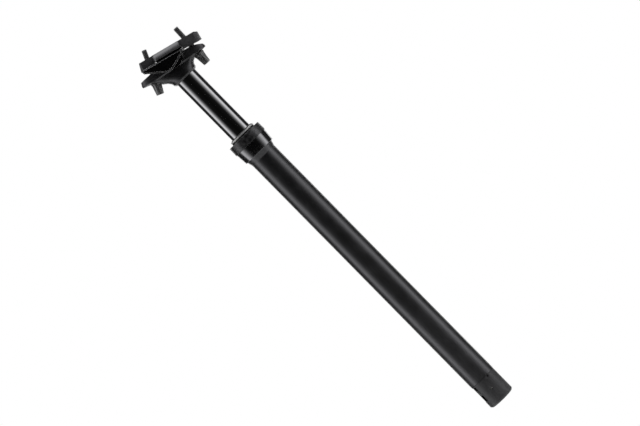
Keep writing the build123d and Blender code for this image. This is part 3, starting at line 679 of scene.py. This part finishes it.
@dataclass
class SoftenedPieces:
    """The plain frame pieces that show, copied and given the small radii of the real ones, in millimetres."""

    merge_distance: float = 0.002
    flat_angle: float = 0.6
    sharp_angle: float = 28.0
    edge_segments: int = 3
    tube_edge: float = 0.25
    foot_edge: float = 0.3
    clamp_edge: float = 0.7
    small_edge: float = 0.12

    def copy(self, node: str) -> bpy.types.Object:
        """Copy a node's mesh, merge its loose triangles and join those that lie flat.

        Args:
            node: The node's name.

        Returns:
            The copy.
        """
        activate(frame["nodes"][node])
        bpy.ops.object.duplicate()
        piece = bpy.context.object
        bpy.ops.object.parent_clear(type="CLEAR_KEEP_TRANSFORM")
        for mark in list(piece.keys()):
            del piece[mark]
        piece.name = piece.data.name = f"{node}_finished"
        settle(piece)
        with editing(piece):
            bpy.ops.mesh.remove_doubles(threshold=mm(self.merge_distance))
            bpy.ops.mesh.dissolve_limited(angle_limit=math.radians(self.flat_angle))
        return piece

    def build(self) -> None:
        """Copy, soften and dress each piece."""
        edges = {
            "lower_cradle": self.clamp_edge,
            "upper_clamp": self.clamp_edge,
            "actuator_housing": self.foot_edge,
            "seal_cap": self.tube_edge,
            "bushing_housing": self.tube_edge,
            "cable_barrel": self.small_edge,
        }
        slots = node_slots()
        frame["nodes"]["wiper_ring"].material_slots[0].material = RING_BRIGHT.build()
        for node, width in edges.items():
            piece = self.copy(node)
            finish = CRADLE_FORGED if node == "lower_cradle" else SLOT_FINISHES[slots[node]]
            # The cradle and upper clamp get a painted highlight on their rounded edges; the other pieces keep
            # their own finish there.
            paint(piece, finish, EDGE_HIGHLIGHT_FINISHES.get(node, finish))
            soften(piece, width, self.edge_segments, self.sharp_angle, EDGE_SLOT)
            dress(piece, frame["nodes"][node]["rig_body"], slots[node], node)


# ---------------------------------------------------------------- clamp head


@dataclass
class ClampHead:
    """Forged head: a round neck that flows out into a front and a rear wing, in millimetres."""

    lean: float = 10.3
    steps: int = 96
    socket_radius: float = 12.75
    socket_depth: float = 9.5
    skirt_radius: float = 15.5
    trough_radius: float = 16.05
    trough_half: float = 26.0
    flat_half: float = 16.0
    top: float = -4.9
    front_fall: float = 5.4
    front_reach: float = 21.0
    front_curve: float = 2.5
    rear_fall: float = 3.2
    rear_reach: float = 25.0
    rear_curve: float = 1.2
    hole_radius: float = 3.6
    hole_steps: int = 32
    hole_length: float = 40.0
    hole_middle: float = 16.0
    head_room_radius: float = 6.45
    head_room_length: float = 20.0
    head_room_middle: float = -9.65
    seat_steps: int = 48
    groove_radius: float = 5.05
    groove_half: float = 5.8
    edge: float = 0.55
    edge_segments: int = 3
    sharp_angle: float = 32.0
    # Skirt: each section's radius, and its height above the lower face.
    skirt_sections: tuple[Point2, ...] = (
        (socket_radius, 0),
        (13.7, 0),
        (skirt_radius, 1.9),
        (skirt_radius, 2.9),
    )
    # Neck: each section's front end, rear end and half width, and its two ends' heights above the lower face.
    neck_sections: tuple[tuple[float, ...], ...] = (
        (16.2, -16.3, 14.9, 4.7, 5.3),
        (17.9, -18.9, 14.2, 6.7, 8.5),
        (21.7, -24.0, 13.2, 8.9, 12.3),
    )
    # Wings: each section's front end, rear end, half width and height, in the leaning frame.
    wing_sections: tuple[tuple[float, ...], ...] = (
        (31.0, -34.0, 11.8, -15.6),
        (37.5, -41.8, 13.0, -14.0),
        (37.6, -42.3, 13.2, -12.2),
    )
    # Top: its front end, rear end and half width, and the shares of that at which sections close over it.
    top_section: tuple[float, ...] = (36.6, -40.7, 12.6)
    top_shares: tuple[float, ...] = (1.0, 0.84, 0.66, 0.45, 0.22)

    def rocker(self) -> Vector:
        """Return the rocker's centre, which the clamp tilts about."""
        return joint_place("clamp_tilt")

    def base(self) -> float:
        """Return the height of the head's lower face, in millimetres."""
        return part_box("clamp_head")[0][2] / MILLIMETRE

    def top_height(self, x: float) -> float:
        """Return the height of the wings' top, in the leaning frame.

        Args:
            x: The place along the head, in millimetres.

        Returns:
            The height, in millimetres.
        """
        beyond = max(abs(x) - self.flat_half, 0)
        if x > 0:
            return self.top - self.front_fall * (beyond / self.front_reach) ** self.front_curve
        return self.top - self.rear_fall * (beyond / self.rear_reach) ** self.rear_curve

    def oval(self, front: float, rear: float, half: float, place: Placer) -> list[Vector]:
        """Return points round an oval.

        Args:
            front: Its front end, in millimetres.
            rear: Its rear end, in millimetres.
            half: Half of its width, in millimetres.
            place: The function that puts each point in place.

        Returns:
            The points, in metres.
        """
        middle, reach = (front + rear) / 2, (front - rear) / 2
        turns = [2 * math.pi * step / self.steps for step in range(self.steps)]
        return [place(middle + reach * math.cos(turn), half * math.sin(turn)) for turn in turns]

    def level(self, front_z: float, rear_z: float, front: float, rear: float) -> Placer:
        """Return a function that puts points on a plane above the lower face.

        Args:
            front_z: The plane's height at the front end, in millimetres.
            rear_z: The plane's height at the rear end, in millimetres.
            front: The front end, in millimetres.
            rear: The rear end, in millimetres.

        Returns:
            The function.
        """
        base = self.base()
        slope = (front_z - rear_z) / (front - rear)
        return lambda x, y: Vector((x, y, base + rear_z + slope * (x - rear))) * MILLIMETRE

    def leaned(self, height: Callable[[float], float]) -> Placer:
        """Return a function that puts points in the leaning frame at a height that varies along it."""
        turn = leaning(self.rocker(), self.lean)
        return lambda x, y: turn @ (Vector((x, y, height(x))) * MILLIMETRE)

    def loops(self) -> list[list[Vector]]:
        """Work out the head's section loops.

        Returns:
            The loops, from the socket's mouth out and up, then in over the top.
        """
        loops = []
        for radius, height in self.skirt_sections:
            loops.append(self.oval(radius, -radius, radius, self.level(height, height, radius, -radius)))
        for front, rear, half, front_z, rear_z in self.neck_sections:
            loops.append(self.oval(front, rear, half, self.level(front_z, rear_z, front, rear)))
        for front, rear, half, height in self.wing_sections:
            loops.append(self.oval(front, rear, half, self.leaned(lambda x, height=height: height)))
        front, rear, half = self.top_section
        for share in self.top_shares:
            loops.append(self.oval(front * share, rear * share, half * share, self.leaned(self.top_height)))
        return loops

    def build(self) -> None:
        """Bridge the loops, cut the rocker's trough, the socket and the bolts' seats, and dress the head."""
        rings = [polygon(f"head_ring_{index}", loop) for index, loop in enumerate(self.loops())]
        head = joined(rings, "clamp_head_forged")
        with editing(head):
            bpy.ops.mesh.select_mode(type="EDGE")
            bpy.ops.mesh.bridge_edge_loops()
            bpy.ops.mesh.select_all(action="DESELECT")
            bpy.ops.mesh.select_non_manifold()
            bpy.ops.mesh.edge_face_add()
        tidy_normals(head)
        centre = self.rocker()
        mouth = Vector((0, 0, self.base()))
        cut(head, cylinder(self.trough_radius, 2 * self.trough_half, centre, Axis.Y, self.steps))
        cut(head, cylinder(self.socket_radius, 2 * self.socket_depth, mouth, Axis.Z, self.steps))
        for end in End:
            bolt = ClampBolt(end)
            hole = Vector((0, 0, self.hole_middle))
            head_room = Vector((0, 0, self.head_room_middle))
            for tool in (
                cylinder(self.hole_radius, self.hole_length, hole, Axis.Z, self.hole_steps),
                cylinder(self.head_room_radius, self.head_room_length, head_room, Axis.Z, self.seat_steps),
                cylinder(self.groove_radius, 2 * self.groove_half, Vector((0, 0, 0)), Axis.Y, self.seat_steps),
            ):
                settle(tool, bolt.place())
                cut(head, tool)
        # The head's rounded edges get a pale painted highlight.
        paint(head, HEAD_FORGED, EDGE_HIGHLIGHT_FINISHES["clamp_head"])
        soften(head, self.edge, self.edge_segments, self.sharp_angle, EDGE_SLOT)
        dress(head, "inner_post", "head_black", "clamp_head")


# ---------------------------------------------------------------- clamp bolts


@dataclass
class ClampBolt:
    """One M6 clamp bolt with its fluted, flanged head and its cut thread, in millimetres."""

    end: End
    thread_radius: float = 3.0
    pitch: float = 1.0
    thread_depth: float = 0.55
    thread_steps: int = 28
    thread_heart: float = 1.0
    crest_share: float = 0.45
    root_share: float = 0.9
    core_overlap: float = 0.02
    shank_relief: float = 0.05
    shank_run_out: float = 0.5
    tip_chamfer: float = 0.3
    shank: float = 15.0
    shank_start: float = -1.0
    shank_steps: int = 56
    length: float = 36.2
    head_length: float = 13.7
    head_steps: int = 72
    head_top_radius: float = 5.3
    head_end_radius: float = 4.1
    flange_radius: float = 5.85
    flange_thickness: float = 2.6
    flange_lip: float = 0.2
    flange_lip_start: float = 0.1
    flange_lip_end: float = 0.5
    flange_chamfer: float = 0.3
    end_chamfer: float = 0.4
    edge: float = 0.15
    flutes: int = 6
    flute_radius: float = 1.7
    flute_setback: float = 0.45
    flute_steps: int = 24
    key_radius: float = 2.9
    key_depth: float = 5.0
    key_sides: int = 6

    def place(self) -> Matrix:
        """Work out the bolt's frame.

        Returns:
            The frame, with its origin at the bolt's seat and +Z towards its nut.
        """
        seat = joint_place(f"{self.end.value}_bolt_swing")
        nut = joint_place(f"{self.end.value}_nut_swivel")
        return leaning(seat, math.degrees(math.atan2(nut.x - seat.x, nut.z - seat.z)))

    def head(self) -> bpy.types.Object:
        """Turn the tapered head with its flange, flute it and sink the hexagon for the key.

        Returns:
            The head.
        """
        head = lathe(
            f"{self.end.value}_bolt_head",
            [
                (0, -self.head_length),
                (self.head_end_radius - self.end_chamfer, -self.head_length),
                (self.head_end_radius, -self.head_length + self.end_chamfer),
                (self.head_top_radius, -self.flange_thickness),
                (self.flange_radius - self.flange_lip, -self.flange_thickness + self.flange_lip_start),
                (self.flange_radius, -self.flange_thickness + self.flange_lip_end),
                (self.flange_radius, -self.flange_chamfer),
                (self.flange_radius - self.flange_chamfer, 0),
                (0, 0),
            ],
            steps=self.head_steps,
        )
        away = self.head_top_radius + self.flute_radius * self.flute_setback
        middle = -self.flange_thickness - self.head_length / 2
        for index in range(self.flutes):
            turn = 2 * math.pi * (index + 0.5) / self.flutes
            place = Vector((math.cos(turn) * away, math.sin(turn) * away, middle))
            cut(head, cylinder(self.flute_radius, self.head_length, place, steps=self.flute_steps))
        end = Vector((0, 0, -self.head_length))
        cut(head, cylinder(self.key_radius, 2 * self.key_depth, end, steps=self.key_sides))
        soften(head, self.edge)
        return head

    def thread(self) -> bpy.types.Object:
        """Turn the shank and wind the thread on it as one closed screw surface.

        Returns:
            The shank with its thread.
        """
        turns = int((self.length - self.shank) / self.pitch) - 1
        root = self.thread_radius - self.thread_depth
        middle = self.shank + self.crest_share * self.pitch
        start = Vector((mm(root), 0, mm(self.shank)))
        crest = Vector((mm(self.thread_radius), 0, mm(middle)))
        close = Vector((mm(root), 0, mm(self.shank + self.root_share * self.pitch)))
        heart = Vector((mm(self.thread_heart), 0, mm(middle)))
        ridge = polygon(f"{self.end.value}_bolt_thread", [start, crest, close, heart])
        apply_modifier(
            ridge,
            "SCREW",
            axis="Z",
            angle=2 * math.pi * turns,
            screw_offset=mm(self.pitch) * turns,
            steps=self.thread_steps * turns,
            render_steps=self.thread_steps * turns,
            use_smooth_shade=False,
        )
        with editing(ridge):
            bpy.ops.mesh.select_all(action="DESELECT")
            bpy.ops.mesh.select_non_manifold()
            bpy.ops.mesh.edge_face_add()
        tidy_normals(ridge)
        core = root + self.core_overlap
        body = self.thread_radius - self.shank_relief
        shank = lathe(
            f"{self.end.value}_bolt_shank",
            [
                (0, self.shank_start),
                (body, self.shank_start),
                (body, self.shank - self.shank_run_out),
                (core, self.shank),
                (core, self.length - self.tip_chamfer),
                (core - self.tip_chamfer, self.length),
                (0, self.length),
            ],
            steps=self.shank_steps,
        )
        smooth(shank)
        return joined([shank, ridge], f"{self.end.value}_bolt_thread")

    def build(self) -> None:
        """Make the whole bolt and put it in place of its plain node."""
        bolt = joined([self.head(), self.thread()], f"{self.end.value}_bolt_cut")
        settle(bolt, self.place())
        paint(bolt, BOLT_OXIDE)
        dress(bolt, f"{self.end.value}_bolt", "bolt_black", f"{self.end.value}_clamp_bolt")


# ---------------------------------------------------------------- whole model


def node_slots() -> dict[str, str]:
    """Return each node's material slot."""
    return {part["node"]: part["material_slot"] for part in frame["record"]["subparts"]}


def dress_nodes() -> None:
    """Give every CAD node the finish of its slot."""
    slots = node_slots()
    for name, node in frame["nodes"].items():
        node.data.materials.clear()
        node.data.materials.append(SLOT_FINISHES[slots[name]].build())


def main() -> None:
    """Build the studio, dress the frame and make every detailed piece."""
    logging.basicConfig(level=logging.INFO, format="%(name)s: %(message)s")
    Studio().build()
    dress_nodes()
    SoftenedPieces().build()
    ClampHead().build()
    for end in End:
        ClampBolt(end).build()


if __name__ == "__main__":
    main()
